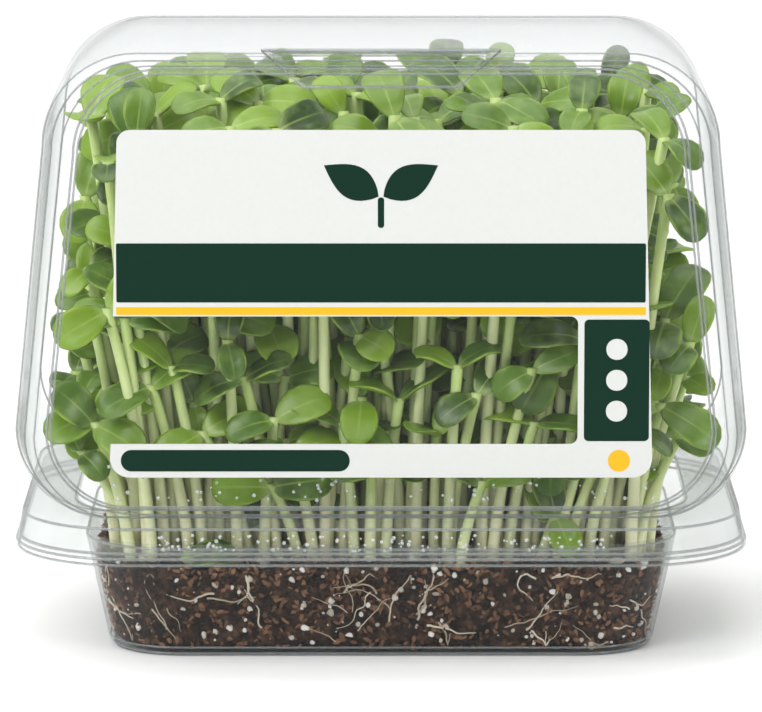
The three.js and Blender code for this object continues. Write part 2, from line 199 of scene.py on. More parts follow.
def ramp(tree, source, stops):
    """A colour ramp fed by a socket, with (place, colour) stops."""
    made = tree.nodes.new("ShaderNodeValToRGB")
    while len(made.color_ramp.elements) < len(stops):
        made.color_ramp.elements.new(1.0)
    for element, (place, colour) in zip(made.color_ramp.elements, stops):
        element.position = place
        element.color = (*colour, 1.0)
    tree.links.new(source, made.inputs["Fac"])
    return made.outputs["Color"]


def blend(tree, amount, first, second, mode="MIX"):
    """Two colours mixed by an amount. Each may be a socket or a plain value."""
    made = tree.nodes.new("ShaderNodeMix")
    made.data_type = "RGBA"
    made.blend_type = mode
    for key, value in (("Factor", amount), ("A", first), ("B", second)):
        socket = next(s for s in made.inputs if s.name == key and (key == "Factor" and s.type == "VALUE"
                                                                   or key != "Factor" and s.type == "RGBA"))
        if hasattr(value, "is_linked"):
            tree.links.new(value, socket)
        elif key == "Factor":
            socket.default_value = value
        else:
            socket.default_value = (*value, 1.0)
    return next(s for s in made.outputs if s.type == "RGBA")


def maths(tree, operation, *values):
    """One sum with sockets or plain numbers."""
    made = tree.nodes.new("ShaderNodeMath")
    made.operation = operation
    for socket, value in zip(made.inputs, values):
        if hasattr(value, "is_linked"):
            tree.links.new(value, socket)
        else:
            socket.default_value = value
    return made.outputs["Value"]


def attribute(tree, name):
    """The socket of a number kept at a piece's points."""
    made = tree.nodes.new("ShaderNodeAttribute")
    made.attribute_name = name
    return made.outputs["Fac"]


def object_place(tree):
    return tree.nodes.new("ShaderNodeTexCoord").outputs["Object"]


def noise(tree, scale, detail=3.0, roughness=0.55):
    made = node(tree, "ShaderNodeTexNoise", {"Scale": scale, "Detail": detail, "Roughness": roughness})
    tree.links.new(object_place(tree), made.inputs["Vector"])
    return made.outputs["Fac"]


def bump(tree, height, strength, distance):
    made = node(tree, "ShaderNodeBump", {"Strength": strength, "Distance": distance})
    tree.links.new(height, made.inputs["Height"])
    return made.outputs["Normal"]


# %% [markdown]
# The tray and the lid are thin clear sheet. Real refraction would be slow and noisy through so many walls,
# so light goes straight through and only the shine changes with the angle of view.

# %% Clear plastic
def clear_plastic(name):
    """Thin clear sheet: light goes straight through it, less at a glancing angle, where its shine shows more."""
    material, tree, shader = start_material(name, Base_Color=(0.55, 0.57, 0.57, 1), Roughness=0.05, IOR=1.5,
                                            Specular_IOR_Level=1.0)
    links = tree.links
    facing = node(tree, "ShaderNodeLayerWeight", {"Blend": 0.5}).outputs["Facing"]
    tint = ramp(tree, facing, [(0.0, (0.99, 0.993, 0.993)), (0.75, (0.97, 0.975, 0.975)),
                               (0.92, (0.9, 0.91, 0.91)), (1.0, (0.35, 0.37, 0.37))])
    through = node(tree, "ShaderNodeBsdfTransparent")
    links.new(tint, through.inputs["Color"])
    haze = noise(tree, 70.0, 2.0)
    links.new(bump(tree, haze, 0.12, 0.0006), shader.inputs["Normal"])
    shine = ramp(tree, facing, [(0.0, (0.012, 0.012, 0.012)), (0.6, (0.045, 0.045, 0.045)),
                                (0.85, (0.18, 0.18, 0.18)), (0.96, (0.45, 0.45, 0.45)), (1.0, (0.75, 0.75, 0.75))])
    layers = tree.nodes.new("ShaderNodeMixShader")
    links.new(shine, layers.inputs["Fac"])
    links.new(through.outputs["BSDF"], layers.inputs[1])
    links.new(shader.outputs["BSDF"], layers.inputs[2])
    links.new(layers.outputs["Shader"], tree.nodes["Material Output"].inputs["Surface"])
    return material


tray_plastic = clear_plastic("tray_clear")
lid_plastic = clear_plastic("lid_clear")


# %% [markdown]
# Peat is dark and crumbly. Cells give the crumbs and noise gives broad patches, both read from Object
# coordinates, so that the pattern stays in place on the block.

# %% Soil
def soil_material():
    """Moist peat: dark crumbs of mixed size with darker hollows between them, and a few redder ones."""
    material, tree, shader = start_material("soil_peat", Roughness=0.8, Specular_IOR_Level=0.3)
    crumbs = node(tree, "ShaderNodeTexVoronoi", {"Scale": 620.0, "Randomness": 1.0})
    tree.links.new(object_place(tree), crumbs.inputs["Vector"])
    broad = noise(tree, 260.0, 5.0, 0.6)
    fine = noise(tree, 1300.0, 4.0, 0.65)
    base = ramp(tree, broad, [(0.34, (0.01, 0.006, 0.004)), (0.5, (0.045, 0.024, 0.015)),
                              (0.66, (0.15, 0.08, 0.048))])
    grain = ramp(tree, crumbs.outputs["Color"], [(0.1, (0.3, 0.27, 0.27)), (0.9, (1.0, 0.9, 0.85))])
    colour = blend(tree, 1.0, base, grain, "MULTIPLY")
    specks = ramp(tree, fine, [(0.64, (0, 0, 0)), (0.72, (1, 1, 1))])
    colour = blend(tree, maths(tree, "MULTIPLY", specks, 0.5), colour, (0.24, 0.14, 0.085))
    tree.links.new(colour, shader.inputs["Base Color"])
    height = maths(tree, "ADD", maths(tree, "MULTIPLY", crumbs.outputs["Distance"], -1.6), fine)
    tree.links.new(bump(tree, height, 1.0, 0.0012), shader.inputs["Normal"])
    return material


def grain_material(name, dark, light, scale, roughness, depth):
    """Grains of one kind: each has its own tone between two, mottled by noise, with a bump of the same noise."""
    material, tree, shader = start_material(name, Roughness=roughness, Specular_IOR_Level=0.3)
    mottle = noise(tree, scale, 4.0, 0.6)
    own_tone = maths(tree, "MULTIPLY", attribute(tree, "tone"), 0.7)
    tone = maths(tree, "ADD", own_tone, maths(tree, "MULTIPLY", mottle, 0.4))
    tree.links.new(ramp(tree, tone, [(0.15, dark), (0.95, light)]), shader.inputs["Base Color"])
    tree.links.new(bump(tree, mottle, 0.6, depth), shader.inputs["Normal"])
    return material


soil_look = soil_material()
perlite_look = grain_material("perlite", (0.42, 0.36, 0.28), (0.86, 0.84, 0.79), 700.0, 0.8, 0.0003)
root_look = grain_material("roots", (0.36, 0.27, 0.18), (0.74, 0.67, 0.54), 400.0, 0.6, 0.0001)
bark_look = grain_material("bark_chips", (0.018, 0.01, 0.0065), (0.3, 0.15, 0.08), 1100.0, 0.75, 0.0004)


# %% [markdown]
# A seed leaf is thick and waxy, with a pale vein and rim. The mesh carries how far along and across the leaf
# each point is, so one material fits every leaf whatever its size and turn.

# %% Leaves and stems
def leaf_material():
    """A seed leaf: green above with a pale vein and pale patches, partly its waxy coat and partly painted highlight;
    yellow-green below and along its rim.
    """
    material, tree, shader = start_material("seed_leaf", Roughness=0.34, Specular_IOR_Level=0.5,
                                            Subsurface_Weight=0.08, Subsurface_Scale=0.001)
    across = maths(tree, "ABSOLUTE", attribute(tree, "leaf_across"))
    along = attribute(tree, "leaf_along")
    upper = attribute(tree, "leaf_upper")
    tone = attribute(tree, "tone")
    patches = noise(tree, 190.0, 3.0)
    fine = noise(tree, 1100.0, 3.0)
    green = ramp(tree, tone, [(0.0, (0.02, 0.055, 0.003)), (0.45, (0.075, 0.165, 0.006)),
                              (1.0, (0.225, 0.37, 0.012))])
    # Pale patches on the upper side: partly the leaf's waxy coat, partly painted highlight.
    bloom_and_highlight = maths(tree, "MULTIPLY", ramp(tree, patches, [(0.46, (0, 0, 0)), (0.66, (1, 1, 1))]), 0.34)
    above = blend(tree, bloom_and_highlight, green, (0.27, 0.4, 0.085))
    vein = ramp(tree, across, [(0.0, (1, 1, 1)), (0.09, (0, 0, 0))])
    vein = maths(tree, "MULTIPLY", vein, maths(tree, "SUBTRACT", 0.75, maths(tree, "MULTIPLY", along, 0.75)))
    above = blend(tree, vein, above, (0.4, 0.54, 0.13))
    rim = ramp(tree, across, [(0.8, (0, 0, 0)), (0.97, (1, 1, 1))])
    above = blend(tree, maths(tree, "MULTIPLY", rim, 0.65), above, (0.36, 0.52, 0.07))
    foot = ramp(tree, along, [(0.02, (1, 1, 1)), (0.22, (0, 0, 0))])
    above = blend(tree, maths(tree, "MULTIPLY", foot, 0.6), above, (0.45, 0.58, 0.2))
    below = blend(tree, fine, (0.17, 0.29, 0.014), (0.27, 0.4, 0.03))
    tree.links.new(blend(tree, upper, below, above), shader.inputs["Base Color"])
    tree.links.new(bump(tree, fine, 0.25, 0.0002), shader.inputs["Normal"])
    return material


def stem_material():
    """A seedling's stem: cream and smooth at its foot, greener towards its leaves, with faint streaks."""
    material, tree, shader = start_material("stem", Roughness=0.38, Specular_IOR_Level=0.45,
                                            Subsurface_Weight=0.15, Subsurface_Scale=0.002)
    height = attribute(tree, "stem_height")
    tone = attribute(tree, "tone")
    streak = noise(tree, 420.0, 3.0)
    colour = ramp(tree, height, [(0.0, (0.6, 0.48, 0.33)), (0.1, (0.78, 0.76, 0.5)), (0.55, (0.68, 0.75, 0.36)),
                                 (0.92, (0.4, 0.56, 0.11))])
    colour = blend(tree, maths(tree, "MULTIPLY", tone, 0.35), colour, (0.55, 0.68, 0.27))
    colour = blend(tree, maths(tree, "MULTIPLY", streak, 0.25), colour, (0.86, 0.87, 0.7))
    tree.links.new(colour, shader.inputs["Base Color"])
    tree.links.new(bump(tree, streak, 0.2, 0.0002), shader.inputs["Normal"])
    return material


leaf_look = leaf_material()
stem_look = stem_material()


# %% [markdown]
# The label is satin printed film. Each ink is its own plain material with hardly any shine.

# %% Label film
def print_material(name, colour, roughness=0.34):
    """Printed film: one ink colour with a slight mottle and a soft gloss."""
    material, tree, shader = start_material(name, Roughness=roughness, Specular_IOR_Level=0.1)
    mottle = noise(tree, 900.0, 2.0)
    darker = tuple(0.985 * value for value in colour)
    tree.links.new(ramp(tree, mottle, [(0.35, darker), (0.65, colour)]), shader.inputs["Base Color"])
    tree.links.new(bump(tree, mottle, 0.04, 0.0002), shader.inputs["Normal"])
    return material


label_white = print_material("label_white", (0.62, 0.63, 0.61))
label_green = print_material("label_green", (0.004, 0.026, 0.015))
label_yellow = print_material("label_yellow", (0.8, 0.43, 0.02))
print("materials:", len(bpy.data.materials))

# %% [markdown]
# ## Tray
# The tray is one sheet. Its rings of points run from the middle of the floor up the inside of the wall, out
# over the rim, round the lip and back down the outside.

# %% Tray skin
def cup_size(z):
    """Half sizes and corner radius of the cup's outside at a height."""
    share = z / TRAY["height"]
    return tuple(low + (high - low) * share for low, high in zip(TRAY["foot"], TRAY["mouth"]))


def heel_levels(floor, inset, turn):
    """Levels round the cup's lower edge, from its wall down to its floor: a quarter of an ellipse."""
    heel = TRAY["heel"]
    return [(cup_size(floor + heel * (1 - np.sin(angle))), inset + 0.75 * heel * (1 - np.cos(angle)),
             floor + heel * (1 - np.sin(angle))) for angle in turn]


def tray_levels():
    wall, top = TRAY["wall"], TRAY["height"]
    lip, under = top - TRAY["rim_lip"], top - TRAY["rim_thick"]
    turn = np.linspace(0, np.pi / 2, 7)
    inside = heel_levels(wall, wall, turn)[::-1]
    inside += [(cup_size(z), wall, z) for z in (12.0, 22.0, top - 0.8)]
    mouth = [(cup_size(top), wall - 0.35, top - 0.1), (cup_size(top), wall - 1.2, top)]
    rim = [(TRAY["rim"], inset, z) for inset, z in (
        (6.0, top), (0.6, top), (0.2, top - 0.15), (0.0, top - 0.5), (0.2, lip + 0.3), (0.4, lip), (1.1, lip),
        (1.3, lip + 0.3), (1.3, under))]
    outside = [(cup_size(z), 0.0, z) for z in (under, 22.0, 12.0)]
    return inside + mouth + rim + outside + heel_levels(0.0, 0.0, turn)


tray = skin("tray_skin", *upright(tray_levels()[::-1]), [tray_plastic])
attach(tray, "root")
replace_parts(tray, "tray")
print("tray faces:", len(tray.data.polygons))

# %% [markdown]
# ## Lid
# The lid is a rounded box, hollowed by a smaller copy of itself, with a mouth cut through its floor and a rim
# joined on. Booleans do this on closed helper pieces, which are then deleted.

# %% Lid skin
def lid_rings(wall, steps=14):
    """Rings of points along the lid, each a rounded outline in the XZ plane, drawn in by the wall."""
    rings = []
    for y, side, top, base in LID_STEPS:
        outline = rounded_outline(LID["half_low"] - side - wall, LID["half_high"] - side - wall,
                                  LID["base"] + base + wall, LID["top"] - top - wall,
                                  LID["radius_low"] - side * 0.2 - wall, LID["radius_high"] - side * 0.2 - wall,
                                  steps)
        depth = np.full(len(outline), y - np.sign(y) * wall)
        rings.append(np.column_stack([outline[:, 0], depth, outline[:, 1]]))
    return np.concatenate(rings), len(rings), 4 * (steps + 1)


def tab_block(name, wall):
    """The tab: a trapezoid from the front whose face slopes back from its lip to its crest."""
    bottom, top = TAB["low"] + wall, TAB["high"] - wall
    lip = TAB["low"] + TAB["lip"]
    height = TAB["high"] + 1 - TAB["low"] - wall

    def half(z):
        return TAB["half_low"] - wall + (TAB["half_high"] - TAB["half_low"]) * (z - bottom) / height

    profile = [(PANEL_Y + wall, bottom), (TAB["front"] + wall, bottom + 0.8), (TAB["front"] + wall, lip),
               (TAB["crest"] + wall * 0.5, top), (TAB["back"], LID["top"] - 0.5 - wall), (TAB["back"], bottom)]
    ring = np.array(profile)
    width = np.array([half(z) for y, z in profile])
    left = np.column_stack([-width, ring])
    right = np.column_stack([width, ring])
    points = np.concatenate([right, left])
    return make_piece(name, points, [(ring_faces(2, len(profile)), 0), (end_caps(2, len(profile)), 0)], smooth=False)


def combine(target, helper, operation):
    """Joins a helper to a piece or cuts it away, then deletes the helper."""
    step = target.modifiers.new(operation.lower(), "BOOLEAN")
    step.operation = operation
    step.object = helper
    step.solver = "EXACT"
    with bpy.context.temp_override(object=target, active_object=target, selected_objects=[target]):
        bpy.ops.object.modifier_apply(modifier=step.name)
    bpy.data.objects.remove(helper)


def lid_rim_levels(low, thick, top):
    """Levels of the lid's rim block from its foot to its top, drawn in by a thickness."""
    draft = LID_RIM["draft"]
    size = LID_RIM["size"]
    return [(size, thick, low), (size, thick + draft, top - 0.6), (size, thick + draft + 0.2, top - 0.18),
            (size, thick + draft + 0.6, top)]


rim_low = TRAY["height"] + GAP
thick = LID_RIM["thick"]
lid = skin("lid_skin", *lid_rings(0.0), [lid_plastic])
combine(lid, tab_block("tab_outside", 0.0), "UNION")
combine(lid, skin("rim_block", *upright(lid_rim_levels(rim_low, 0.0, LID_RIM["top"])), []), "UNION")
hollow = skin("lid_hollow", *lid_rings(LID["wall"]), [])
combine(hollow, tab_block("tab_hollow", LID["wall"]), "UNION")
combine(lid, hollow, "DIFFERENCE")
print("lid faces:", len(lid.data.polygons))

# %% [markdown]
# The lid stands on the tray by a hollow rim, is open below, and has a raised mark with a slot on its tab.
# These are cut and joined last, so that each cut goes through finished walls.

# %% Lid rim, mouth and tab mark
def slope_bar(name, half, depth, radius, low, high, edge):
    """A rounded bar on the tab's sloping face, from a depth under it to a height over it, its edge eased."""
    face = np.array([TAB["crest"] - TAB["front"], TAB["high"] - TAB["low"] - TAB["lip"]])
    along = face / np.linalg.norm(face)
    middle = np.array([TAB["front"], TAB["low"] + TAB["lip"]]) + face / 2
    rings = []
    for inset, height in ((0.0, low), (0.0, high - edge), (0.3 * edge, high - 0.3 * edge), (edge, high)):
        outline = rounded_outline(half - inset, half - inset, inset - depth / 2, depth / 2 - inset,
                                  radius - inset, radius - inset, 8)
        y = middle[0] + outline[:, 1] * along[0] - height * along[1]
        z = middle[1] + outline[:, 1] * along[1] + height * along[0]
        rings.append(np.column_stack([outline[:, 0], y, z]))
    return skin(name, np.concatenate(rings), len(rings), 36, [])


combine(lid, skin("under_rim", *upright(lid_rim_levels(rim_low - 1, thick, LID_RIM["top"] - thick)), []),
        "DIFFERENCE")
mouth_levels = [(LID["mouth"], 0.0, rim_low), (LID["mouth"], 0.0, LID["base"] + 3)]
combine(lid, skin("mouth_cut", *upright(mouth_levels), []), "DIFFERENCE")
combine(lid, slope_bar("tab_mark", 11.0, 9.0, 3.0, -0.6, 0.7, 0.35), "UNION")
combine(lid, slope_bar("tab_slot", 9.0, 3.4, 1.6, 0.2, 1.4, 0.1), "DIFFERENCE")
lid.data.polygons.foreach_set("use_smooth", np.ones(len(lid.data.polygons), dtype=bool))
lid.data.set_sharp_from_angle(angle=np.radians(32))
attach(lid, "root")
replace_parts(lid, "lid")
print("lid faces with rim and mouth:", len(lid.data.polygons))

# %% [markdown]
# Where the clear sheet bends it shows as a fine grey line with a bright edge, because light no longer goes
# straight through it. Thin grey beads along the bends paint these lines on as shade, the same from every side.

# %% Bends of the sheet
def bend_shade_material():
    """Painted shade for a line at a bend of the clear sheet: half see-through, grey and glossy, with a little
    unevenness along it.
    """
    material, tree, shader = start_material("sheet_bend_shade", Base_Color=(0.24, 0.26, 0.26, 1), Roughness=0.08,
                                            Specular_IOR_Level=1.0, Alpha=0.5)
    tree.links.new(bump(tree, noise(tree, 240.0, 2.0), 0.3, 0.0004), shader.inputs["Normal"])
    return material


def bead_points(loop, radius, sides=6):
    """A closed tube along a loop of points: rings across it, turned away from the loop's middle."""
    forward = np.roll(loop, -1, axis=0) - np.roll(loop, 1, axis=0)
    forward /= np.linalg.norm(forward, axis=1, keepdims=True)
    outward = loop - loop.mean(axis=0)
    outward -= (outward * forward).sum(axis=1, keepdims=True) * forward
    outward /= np.linalg.norm(outward, axis=1, keepdims=True)
    side = np.cross(forward, outward)
    turn = np.linspace(0, 2 * np.pi, sides, endpoint=False)
    across = np.cos(turn)[:, None] * outward[:, None] + np.sin(turn)[:, None] * side[:, None]
    rings = loop[:, None] + radius * across
    step, place = np.meshgrid(np.arange(len(loop)), np.arange(sides), indexing="ij")
    ahead, beside = (step + 1) % len(loop), (place + 1) % sides
    faces = np.stack([step * sides + place, step * sides + beside, ahead * sides + beside, ahead * sides + place], -1)
    return rings.reshape(-1, 3), faces.reshape(-1, 4)


def bends(name, loops, material):
    """All beads of one sheet as one mesh."""
    points, faces, start = [], [], 0
    for loop, radius in loops:
        bead, quads = bead_points(np.asarray(loop, dtype=float), radius)
        points.append(bead)
        faces.append(quads + start)
        start += len(bead)
    piece = make_piece(name, np.concatenate(points), [(np.concatenate(faces), 0)], [material])
    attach(piece, "root")
    return piece


def plan_loop(size, inset, z):
    outline = plan_outline(size, inset)
    return np.column_stack([outline, np.full(len(outline), z)])


def front_loop(step, inset):
    """The lid's outline at one of its steps, drawn in a little."""
    y, side, top, base = LID_STEPS[step]
    outline = rounded_outline(LID["half_low"] - side - inset, LID["half_high"] - side - inset,
                              LID["base"] + base + inset, LID["top"] - top - inset,
                              LID["radius_low"] - side * 0.2, LID["radius_high"] - side * 0.2)
    return np.column_stack([outline[:, 0], np.full(len(outline), y), outline[:, 1]])


bend_shade_look = bend_shade_material()
TAB_LOOP = [(-30.4, -50.8, 158.9), (-19.6, -60.1, 150.8), (19.6, -60.1, 150.8), (30.4, -50.8, 158.9)]
# Grey beads along the bends of the lid, then of the tray: painted shade for the lines that refraction gives there.
bends("lid_bend_shade", [
    (front_loop(3, 0.4), 0.28), (front_loop(5, 0.35), 0.22), (front_loop(7, 0.3), 0.28), (front_loop(9, 0.3), 0.22),
    (front_loop(10, 0.2), 0.32), (front_loop(12, 0.1), 0.3), (plan_loop(LID_RIM["size"], 1.5, LID_RIM["top"] - 0.25), 0.4),
    (plan_loop(LID_RIM["size"], 0.5, rim_low + 0.5), 0.4),
    (plan_loop(LID["mouth"], -0.4, LID["base"] + 0.9), 0.35),
    (TAB_LOOP, 0.4),
], bend_shade_look)
bends("tray_bend_shade", [
    (plan_loop(TRAY["rim"], 0.5, TRAY["height"] - 0.5), 0.4),
    (plan_loop(TRAY["rim"], 0.8, TRAY["height"] - 2.1), 0.35),
    (plan_loop(cup_size(2.4), 0.5, 2.4), 0.3), (plan_loop(cup_size(0.6), 1.2, 0.6), 0.4),
    (plan_loop(cup_size(30.0), 0.5, 29.6), 0.4),
], bend_shade_look)
print("bends made")

# %% [markdown]
# ## Label
# The label is a film with a window cut in from its left edge. Its print is a set of very thin blocks on the
# film, so that each colour has a crisp edge without an image.

# %% Label film and print
FILM_BACK = PANEL_Y - LABEL["gap"]
FILM_FRONT = FILM_BACK - LABEL["thick"]


def film_piece(name, outline, back, front, material):
    """A flat outline in the XZ plane, made into a thin sheet between two places along Y."""
    rings = [np.column_stack([outline[:, 0], np.full(len(outline), y), outline[:, 1]]) for y in (back, front)]
    piece = skin(name, np.concatenate(rings), 2, len(outline), [material], 20)
    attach(piece, "root")
    return piece


def label_outline():
    """The label's edge: four rounded corners, with a window let in from the left between two heights."""
    sheet = rounded_outline(LABEL["half_low"], LABEL["half_high"], LABEL["low"], LABEL["high"],
                            LABEL["radius_low"], LABEL["radius_high"], 8)
    right, radius = LABEL["window_right"], LABEL["window_radius"]
    high, low = LABEL["window_high"], LABEL["window_low"]
    edge = np.interp([high, low], [LABEL["low"], LABEL["high"]], [LABEL["half_low"], LABEL["half_high"]])
    turn = np.linspace(np.pi / 2, 0, 7)
    upper = np.column_stack([right - radius + radius * np.cos(turn), high - radius + radius * np.sin(turn)])
    lower = np.column_stack([right - radius + radius * np.cos(turn - np.pi / 2),
                             low + radius + radius * np.sin(turn - np.pi / 2)])
    return np.concatenate([sheet[:27], [(-edge[0], high)], upper, lower, [(-edge[1], low)], sheet[27:]])


def block_outline(left, right, low, high, radius):
    """A rounded rectangle between given sides."""
    half, middle = (right - left) / 2, (right + left) / 2
    return rounded_outline(half, half, low, high, radius, radius, 6) + np.array([middle, 0.0])


def leaf_outline(x, z, length, width, angle):
    """A pointed oval from a foot point: its width follows a sine along its length."""
    along = np.linspace(0, 1, 15)
    half = width / 2 * np.sin(np.pi * along ** 0.85)
    local = np.concatenate([np.column_stack([along * length, -half])[:-1],
                            np.column_stack([along * length, half])[:0:-1]])
    turn = np.array([[np.cos(angle), np.sin(angle)], [-np.sin(angle), np.cos(angle)]])
    return local @ turn + np.array([x, z])


label = film_piece("label_film", label_outline(), FILM_BACK, FILM_FRONT, label_white)
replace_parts(label, "label")
PRINT = [
    ("band", block_outline(-67.3, 67.3, 95.4, 110.6, 0.4), label_green),
    ("stripe", block_outline(-67.4, 67.4, 92.2, 94.2, 0.3), label_yellow),
    ("side_panel", block_outline(51.8, 68.4, 59.5, 91.0, 1.2), label_green),
    ("foot_bar", block_outline(-66.5, -8.0, 51.6, 57.2, 2.7), label_green),
    ("foot_spot", block_outline(58.0, 63.6, 51.6, 57.2, 2.7), label_yellow),
    ("sprout_left", leaf_outline(-0.6, 122.6, 16.0, 8.6, np.radians(150)), label_green),
    ("sprout_right", leaf_outline(0.6, 122.6, 16.0, 8.6, np.radians(30)), label_green),
    ("sprout_stem", block_outline(-0.8, 0.8, 114.6, 122.4, 0.7), label_green),
    ("spot_one", block_outline(57.4, 62.8, 80.6, 86.0, 2.6), label_white),
    ("spot_two", block_outline(57.4, 62.8, 72.6, 78.0, 2.6), label_white),
    ("spot_three", block_outline(57.4, 62.8, 64.6, 70.0, 2.6), label_white),
]
for name, outline, ink in PRINT:
    raised = 0.1 if name.startswith("spot_") else 0.05
    film_piece("print_" + name, outline, FILM_FRONT + 0.1, FILM_FRONT - raised, ink)
print("printed blocks:", len(PRINT))

# %% [markdown]
# ## Soil
# The soil fills the tray to just under its rim. Its skin runs up the wall and in over the top, and smooth random
# heights push it about so that it looks crumbly. The clumps of seedlings stand in it, so their places are
# worked out first, by the same rule as in the part's source.

# %% Rule for the seedlings
CLUMP = dict(columns=9, pitch=15.5, shift_x=4.4, shift_y=11.0, stems=4, ring=3.0, crown_sink=0.8)
# Rows: place along Y, heights of leaf joints over the soil along the row, then at its ends
ROWS = ((-36, 26, 64, 14, 96), (-13, 50, 90, 24, 110), (11, 78, 112, 60, 114), (35, 92, 120, 76, 118))
STEM = dict(foot=1.6, top=1.3, lean=1.6, base=SOIL_TOP - CLUMP["crown_sink"] - 2)
LEAF = dict(thick=1.7, swell=0.2, cup=1.1, start=0.3, drop=0.8)
ROOM = dict(top=6, side=6, y=49, mouth_z=46, mouth_x=72, mouth_y=46, far=52)
CLEAR = dict(leaf_leaf=3.4, leaf_stem=3.7, stem_stem=3.8, tries=160)


class Draws:
    """Repeatable numbers from 0 to 1: each state is the last one times a factor plus a step, modulo 2**32."""

    def __init__(self, seed):
        self.state = seed

    def next(self, low=0.0, high=1.0):
        self.state = (self.state * 1664525 + 1013904223) % 4294967296
        return low + (high - low) * (self.state / 4294967296)


def stem_centre(plant, share):
    """Centre of a stem at shares of its length: it leans away from its foot by the share to a power."""
    bend = np.power(share, STEM["lean"])
    return np.stack([plant["foot"][0] + (plant["tip"][0] - plant["foot"][0]) * bend,
                     plant["foot"][1] + (plant["tip"][1] - plant["foot"][1]) * bend,
                     STEM["base"] + (plant["tip"][2] - STEM["base"]) * share], -1)


def leaf_points(plant, leaf, along, across, through):
    """Points of a leaf: an arc along it, a shallow cup across it, turned about the stem and nodding forwards."""
    pitch, curl, length = leaf["pitch"], leaf["curl"], leaf["length"]
    slope = pitch - curl * along
    out = length * (np.sin(pitch) - np.sin(slope)) / curl
    rise = length * (np.cos(slope) - np.cos(pitch)) / curl
    lift = through * LEAF["thick"] / 2 + LEAF["cup"] * across ** 2
    reach = LEAF["start"] + out - lift * np.sin(slope)
    side = across * (1 + LEAF["swell"] * (2 * along - 1)) * leaf["width"] / 2
    up = rise + lift * np.cos(slope)
    x = reach * np.cos(leaf["azimuth"]) - side * np.sin(leaf["azimuth"])
    y = reach * np.sin(leaf["azimuth"]) + side * np.cos(leaf["azimuth"])
    nod_y = y * np.cos(plant["tilt"]) - up * np.sin(plant["tilt"])
    nod_z = y * np.sin(plant["tilt"]) + up * np.cos(plant["tilt"])
    tip = plant["tip"]
    return np.stack([x + tip[0], nod_y + tip[1], nod_z + tip[2] - LEAF["drop"]], -1)


PROBE_ALONG = np.repeat([0.12, 0.32, 0.52, 0.72, 0.92], 3)
PROBE_ACROSS = np.tile([-0.62, 0.0, 0.62], 5) * 2 * np.sqrt(PROBE_ALONG * (1 - PROBE_ALONG))


def try_seedling(draws, clump, index):
    """One try at a seedling: a stem that leans outwards and two leaves across its tip."""
    turn = clump["phase"] + index * 2 * np.pi / CLUMP["stems"]
    heading = turn + draws.next(-0.7, 0.7)
    reach = draws.next(2, 12)
    rise = (index + draws.next(-0.2, 1.2)) / CLUMP["stems"]
    plant = dict(clump=clump, tilt=draws.next(0.1, 1.05))
    plant["foot"] = (clump["x"] + CLUMP["ring"] * np.cos(turn), clump["y"] + CLUMP["ring"] * np.sin(turn))
    plant["tip"] = (clump["x"] * 1.14 + reach * np.cos(heading), clump["y"] * 1.08 + reach * np.sin(heading),
                    SOIL_TOP + clump["low"] + (clump["high"] - clump["low"]) * rise)
    azimuth = draws.next(0, 2 * np.pi)
    plant["leaves"] = []
    for half in (0, np.pi):
        length = draws.next(12.5, 17.5)
        leaf = dict(length=length, azimuth=azimuth + half + draws.next(-0.25, 0.25))
        leaf["pitch"] = draws.next(0.2, 0.9)
        leaf["curl"] = draws.next(0.4, 1.2)
        leaf["width"] = length * draws.next(0.6, 0.72)
        plant["leaves"].append(leaf)
    plant["probes"] = np.concatenate([leaf_points(plant, leaf, PROBE_ALONG, PROBE_ACROSS, 0.0)
                                      for leaf in plant["leaves"]])
    return plant


def has_room(points):
    """Whether all points are over the soil and inside the tray and the lid."""
    x, y, z = np.abs(points[:, 0]), np.abs(points[:, 1]), points[:, 2]
    if z.min() < SOIL_TOP + 2 or z.max() > LID["top"] - ROOM["top"] or y.max() > ROOM["y"]:
        return False
    low = z < ROOM["mouth_z"]
    half = LID["half_low"] + (LID["half_high"] - LID["half_low"]) * (z - LID["base"]) / (LID["top"] - LID["base"])
    radius = LID["radius_low"]
    corner_x = np.maximum(0, x - (half - radius))
    corner_z = np.maximum(np.maximum(0, LID["base"] + radius - z), z - (LID["top"] - radius))
    inside = np.where(low, (x < ROOM["mouth_x"]) & (y < ROOM["mouth_y"]),
                      np.hypot(corner_x, corner_z) < radius - ROOM["side"])
    return bool(inside.all())


def clear_of_stem(points, plant, distance):
    share = np.minimum(1, (points[:, 2] - STEM["base"]) / (plant["tip"][2] - STEM["base"]))
    return np.linalg.norm(points - stem_centre(plant, share), axis=1).min(initial=np.inf) > distance


def plants_clear(a, b):
    """Whether two seedlings keep their stems and leaves apart."""
    if np.hypot(a["tip"][0] - b["tip"][0], a["tip"][1] - b["tip"][1]) > ROOM["far"]:
        return True
    if a["clump"] is not b["clump"]:
        heights = np.arange(SOIL_TOP, min(a["tip"][2], b["tip"][2]), 6)
        stem = stem_centre(a, (heights - STEM["base"]) / (a["tip"][2] - STEM["base"]))
        if not clear_of_stem(stem, b, CLEAR["stem_stem"]):
            return False
    if not clear_of_stem(a["probes"], b, CLEAR["leaf_stem"]) or not clear_of_stem(b["probes"], a, CLEAR["leaf_stem"]):
        return False
    return np.linalg.norm(a["probes"][:, None] - b["probes"][None], axis=2).min() > CLEAR["leaf_leaf"]


